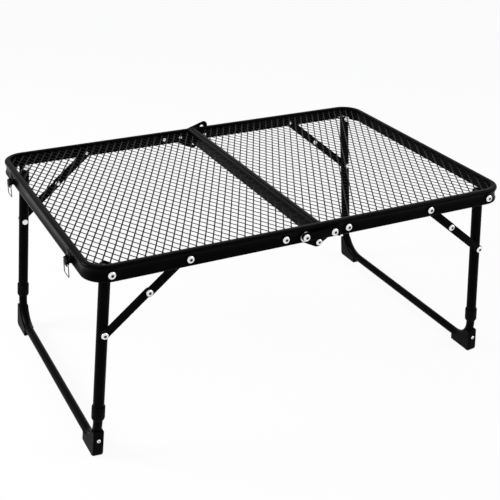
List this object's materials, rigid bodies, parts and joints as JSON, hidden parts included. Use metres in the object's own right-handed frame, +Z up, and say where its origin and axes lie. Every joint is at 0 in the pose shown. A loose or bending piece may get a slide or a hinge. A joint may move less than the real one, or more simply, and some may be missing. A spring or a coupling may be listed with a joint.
{
  "type": "folding camp table",
  "caption": "Low folding camp table with a hinged expanded-metal top, U-shaped telescopic folding legs on hinged braces, side lock hooks and end latches.",
  "frame": {"origin": "on the floor under the middle of the table top", "axes": "+X along the table towards the right half, -Y towards the front, +Z up"},
  "size_m": [0.6125, 0.4122, 0.2805],
  "materials": {
    "black_paint": "satin black coating on steel",
    "black_wire": "black coating on expanded steel sheet",
    "black_plastic": "matt moulded plastic",
    "plated_steel": "bright plated steel"
  },
  "bodies": {
    "left_half": {"left_rail": "black_paint", "left_centre_bar": "black_paint", "left_mesh_top": "black_wire", "left_front_hinge_plate": "black_paint", "left_front_leg_bolt": "plated_steel", "left_front_brace_rivet": "plated_steel", "front_hinge_pin": "plated_steel", "front_hook_pivot": "plated_steel", "front_latch_base": "black_paint", "left_back_hinge_plate": "black_paint", "left_back_leg_bolt": "plated_steel", "left_back_brace_rivet": "plated_steel", "back_hinge_pin": "plated_steel", "back_hook_pivot": "plated_steel", "back_latch_base": "black_paint"},
    "right_half": {"right_rail": "black_paint", "right_centre_bar": "black_paint", "right_mesh_top": "black_wire", "right_front_hinge_plate": "black_paint", "right_front_leg_bolt": "plated_steel", "right_front_brace_rivet": "plated_steel", "front_lock_stud": "plated_steel", "front_catch": "black_paint", "right_back_hinge_plate": "black_paint", "right_back_leg_bolt": "plated_steel", "right_back_brace_rivet": "plated_steel", "back_lock_stud": "plated_steel", "back_catch": "black_paint"},
    "left_legs": {"left_front_leg_tube": "black_paint", "left_front_collar": "black_plastic", "left_front_leg_rivet": "plated_steel", "left_back_leg_tube": "black_paint", "left_back_collar": "black_plastic", "left_back_leg_rivet": "plated_steel"},
    "left_u": {"left_u_leg": "black_paint", "left_front_foot": "black_plastic", "left_back_foot": "black_plastic"},
    "left_front_upper": {"left_front_upper_link": "black_paint"},
    "left_front_lower": {"left_front_lower_link": "black_paint"},
    "left_back_upper": {"left_back_upper_link": "black_paint"},
    "left_back_lower": {"left_back_lower_link": "black_paint"},
    "right_legs": {"right_front_leg_tube": "black_paint", "right_front_collar": "black_plastic", "right_front_leg_rivet": "plated_steel", "right_back_leg_tube": "black_paint", "right_back_collar": "black_plastic", "right_back_leg_rivet": "plated_steel"},
    "right_u": {"right_u_leg": "black_paint", "right_front_foot": "black_plastic", "right_back_foot": "black_plastic"},
    "right_front_upper": {"right_front_upper_link": "black_paint"},
    "right_front_lower": {"right_front_lower_link": "black_paint"},
    "right_back_upper": {"right_back_upper_link": "black_paint"},
    "right_back_lower": {"right_back_lower_link": "black_paint"},
    "front_hook": {"front_lock_hook": "black_paint"},
    "front_lever": {"front_latch_lever": "black_paint"},
    "front_bail": {"front_latch_bail": "plated_steel"},
    "back_hook": {"back_lock_hook": "black_paint"},
    "back_lever": {"back_latch_lever": "black_paint"},
    "back_bail": {"back_latch_bail": "plated_steel"}
  },
  "joints": [
    {"name": "centre_fold", "type": "hinge", "parent": "left_half", "child": "right_half", "pos_m": [0.002, 0, 0.25], "axis": [0, 1, 0], "range_deg": [0, 90]},
    {"name": "left_leg_fold", "type": "hinge", "parent": "left_half", "child": "left_legs", "pos_m": [-0.2715, 0, 0.262], "axis": [0, -1, 0], "range_deg": [0, 95.3]},
    {"name": "left_leg_slide", "type": "slide", "parent": "left_legs", "child": "left_u", "axis": [0.0924, 0, 0.9957], "range_m": [-0.085, 0]},
    {"name": "left_front_upper_turn", "type": "hinge", "parent": "left_half", "child": "left_front_upper", "pos_m": [-0.174, -0.1873, 0.262], "axis": [0, -1, 0], "range_deg": [0, 140.9]},
    {"name": "left_front_lower_turn", "type": "hinge", "parent": "left_legs", "child": "left_front_lower", "pos_m": [-0.27947, -0.1846, 0.17607], "axis": [0, -1, 0], "range_deg": [-134.5, 0]},
    {"name": "left_back_upper_turn", "type": "hinge", "parent": "left_half", "child": "left_back_upper", "pos_m": [-0.174, 0.1873, 0.262], "axis": [0, -1, 0], "range_deg": [0, 140.9]},
    {"name": "left_back_lower_turn", "type": "hinge", "parent": "left_legs", "child": "left_back_lower", "pos_m": [-0.27947, 0.1846, 0.17607], "axis": [0, -1, 0], "range_deg": [-134.5, 0]},
    {"name": "right_leg_fold", "type": "hinge", "parent": "right_half", "child": "right_legs", "pos_m": [0.2715, 0, 0.262], "axis": [0, 1, 0], "range_deg": [0, 95.3]},
    {"name": "right_leg_slide", "type": "slide", "parent": "right_legs", "child": "right_u", "axis": [-0.0924, 0, 0.9957], "range_m": [-0.085, 0]},
    {"name": "right_front_upper_turn", "type": "hinge", "parent": "right_half", "child": "right_front_upper", "pos_m": [0.174, -0.1873, 0.262], "axis": [0, 1, 0], "range_deg": [0, 140.9]},
    {"name": "right_front_lower_turn", "type": "hinge", "parent": "right_legs", "child": "right_front_lower", "pos_m": [0.27947, -0.1846, 0.17607], "axis": [0, 1, 0], "range_deg": [-134.5, 0]},
    {"name": "right_back_upper_turn", "type": "hinge", "parent": "right_half", "child": "right_back_upper", "pos_m": [0.174, 0.1873, 0.262], "axis": [0, 1, 0], "range_deg": [0, 140.9]},
    {"name": "right_back_lower_turn", "type": "hinge", "parent": "right_legs", "child": "right_back_lower", "pos_m": [0.27947, 0.1846, 0.17607], "axis": [0, 1, 0], "range_deg": [-134.5, 0]},
    {"name": "front_lock_hook_turn", "type": "hinge", "parent": "left_half", "child": "front_hook", "pos_m": [-0.0185, -0.2026, 0.2615], "axis": [0, -1, 0], "range_deg": [0, 100]},
    {"name": "front_latch_lever_turn", "type": "hinge", "parent": "left_half", "child": "front_lever", "pos_m": [-0.3042, -0.132, 0.258], "axis": [0, 1, 0], "range_deg": [0, 170]},
    {"name": "front_bail_turn", "type": "hinge", "parent": "front_lever", "child": "front_bail", "pos_m": [-0.3052, -0.132, 0.2544], "axis": [0, -1, 0], "range_deg": [-90, 50]},
    {"name": "back_lock_hook_turn", "type": "hinge", "parent": "left_half", "child": "back_hook", "pos_m": [-0.0185, 0.2026, 0.2615], "axis": [0, -1, 0], "range_deg": [-15, 85]},
    {"name": "back_latch_lever_turn", "type": "hinge", "parent": "left_half", "child": "back_lever", "pos_m": [-0.3042, 0.132, 0.258], "axis": [0, 1, 0], "range_deg": [0, 170]},
    {"name": "back_bail_turn", "type": "hinge", "parent": "back_lever", "child": "back_bail", "pos_m": [-0.3052, 0.132, 0.2544], "axis": [0, -1, 0], "range_deg": [-90, 50]}
  ],
  "couplings": [
    {"joint": "left_front_upper_turn", "follows": "left_leg_fold", "ratio": 1.4777},
    {"joint": "left_front_lower_turn", "follows": "left_leg_fold", "ratio": -1.411},
    {"joint": "left_back_upper_turn", "follows": "left_leg_fold", "ratio": 1.4777},
    {"joint": "left_back_lower_turn", "follows": "left_leg_fold", "ratio": -1.411},
    {"joint": "right_front_upper_turn", "follows": "right_leg_fold", "ratio": 1.4777},
    {"joint": "right_front_lower_turn", "follows": "right_leg_fold", "ratio": -1.411},
    {"joint": "right_back_upper_turn", "follows": "right_leg_fold", "ratio": 1.4777},
    {"joint": "right_back_lower_turn", "follows": "right_leg_fold", "ratio": -1.411}
  ]
}
